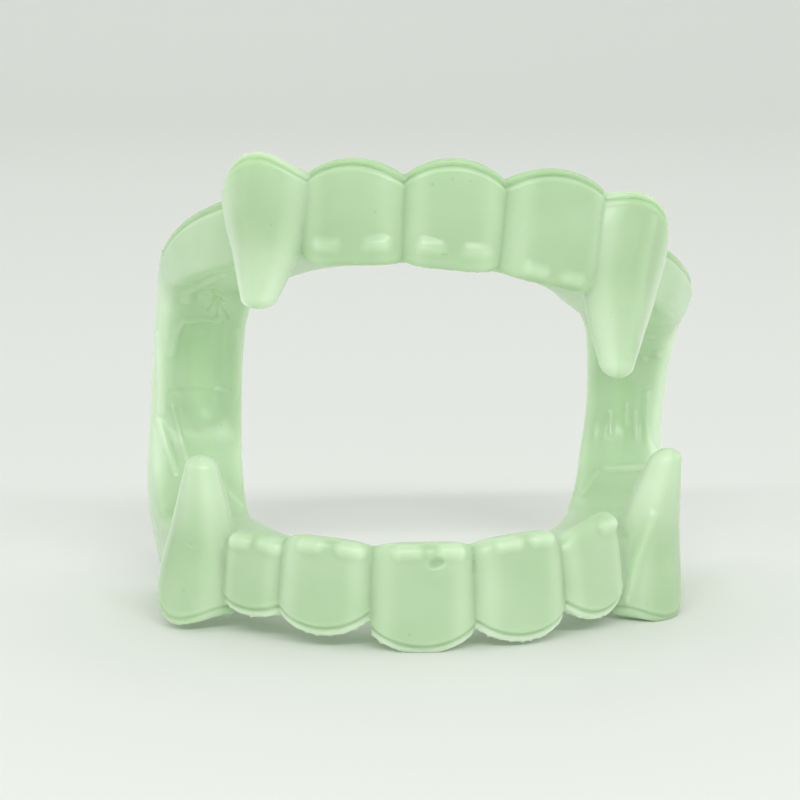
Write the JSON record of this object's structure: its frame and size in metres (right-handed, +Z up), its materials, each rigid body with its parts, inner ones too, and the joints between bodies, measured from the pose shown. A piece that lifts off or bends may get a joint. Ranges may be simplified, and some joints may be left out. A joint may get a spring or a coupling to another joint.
{
  "type": "vampire fang denture",
  "caption": "Soft moulded ring of an upper and a lower toothed gum channel with long fangs, joined at the back by two bending straps.",
  "frame": {"origin": "middle of the bounding box, on the surface that the lower gum rim stands on", "axes": "+X to the right as seen from the front, +Y to the back where the straps bend, +Z up from the lower jaw to the upper jaw"},
  "size_m": [0.0642, 0.042, 0.0548],
  "materials": {
    "glow_plastic": "pale green soft translucent plastic that glows faintly, satin to gloss"
  },
  "bodies": {
    "root": {"fang_denture": "glow_plastic"}
  },
  "joints": []
}
